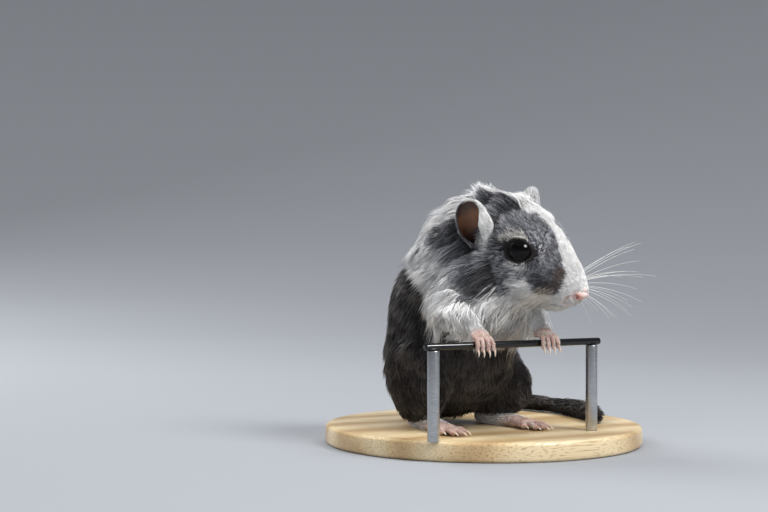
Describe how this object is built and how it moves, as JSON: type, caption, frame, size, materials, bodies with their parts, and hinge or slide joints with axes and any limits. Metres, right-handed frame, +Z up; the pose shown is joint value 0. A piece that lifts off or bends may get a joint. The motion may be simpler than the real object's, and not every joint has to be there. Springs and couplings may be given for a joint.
{
  "type": "gerbil museum model",
  "caption": "Life-size still model of a pied grey gerbil half risen on its haunches, forepaws on a short cut of wire, held by an oval base with upright rods.",
  "frame": {"origin": "middle of the flat underside of the stand's oval base", "axes": "+Z up; the animal's body faces -Y, its left side is +X, and the wire runs along X"},
  "size_m": [0.084, 0.086, 0.0682],
  "materials": {
    "slate_coat": "short agouti fur, slate grey with pale ticking, over skin",
    "white_coat": "long soft white fur of the collar, bib and forearms",
    "dark_coat": "dense dark slate fur of the body",
    "tail_coat": "short dark fur with a longer brush at the tip",
    "bare_skin": "thin pink skin of nose, hands and feet, sparsely haired",
    "ear_skin": "thin brown-pink ear skin with fine pale fringe",
    "eye": "wet glossy black eye, as a glass eye in a museum model",
    "base_board": "pale ash board, satin lacquer",
    "rod_metal": "brushed stainless rod",
    "wire_paint": "black powder-coated wire"
  },
  "bodies": {
    "root": {"head": "slate_coat", "neck": "white_coat", "torso": "dark_coat", "nose": "bare_skin", "ear_left": "ear_skin", "ear_right": "ear_skin", "eye_left": "eye", "eye_right": "eye", "arm_left": "white_coat", "arm_right": "white_coat", "hand_left": "bare_skin", "hand_right": "bare_skin", "thigh_left": "dark_coat", "thigh_right": "dark_coat", "foot_left": "bare_skin", "foot_right": "bare_skin", "tail_base": "tail_coat", "tail_middle": "tail_coat", "tail_end": "tail_coat", "stand_base": "base_board", "stand_rod_left": "rod_metal", "stand_rod_right": "rod_metal", "stand_wire": "wire_paint"}
  },
  "joints": []
}
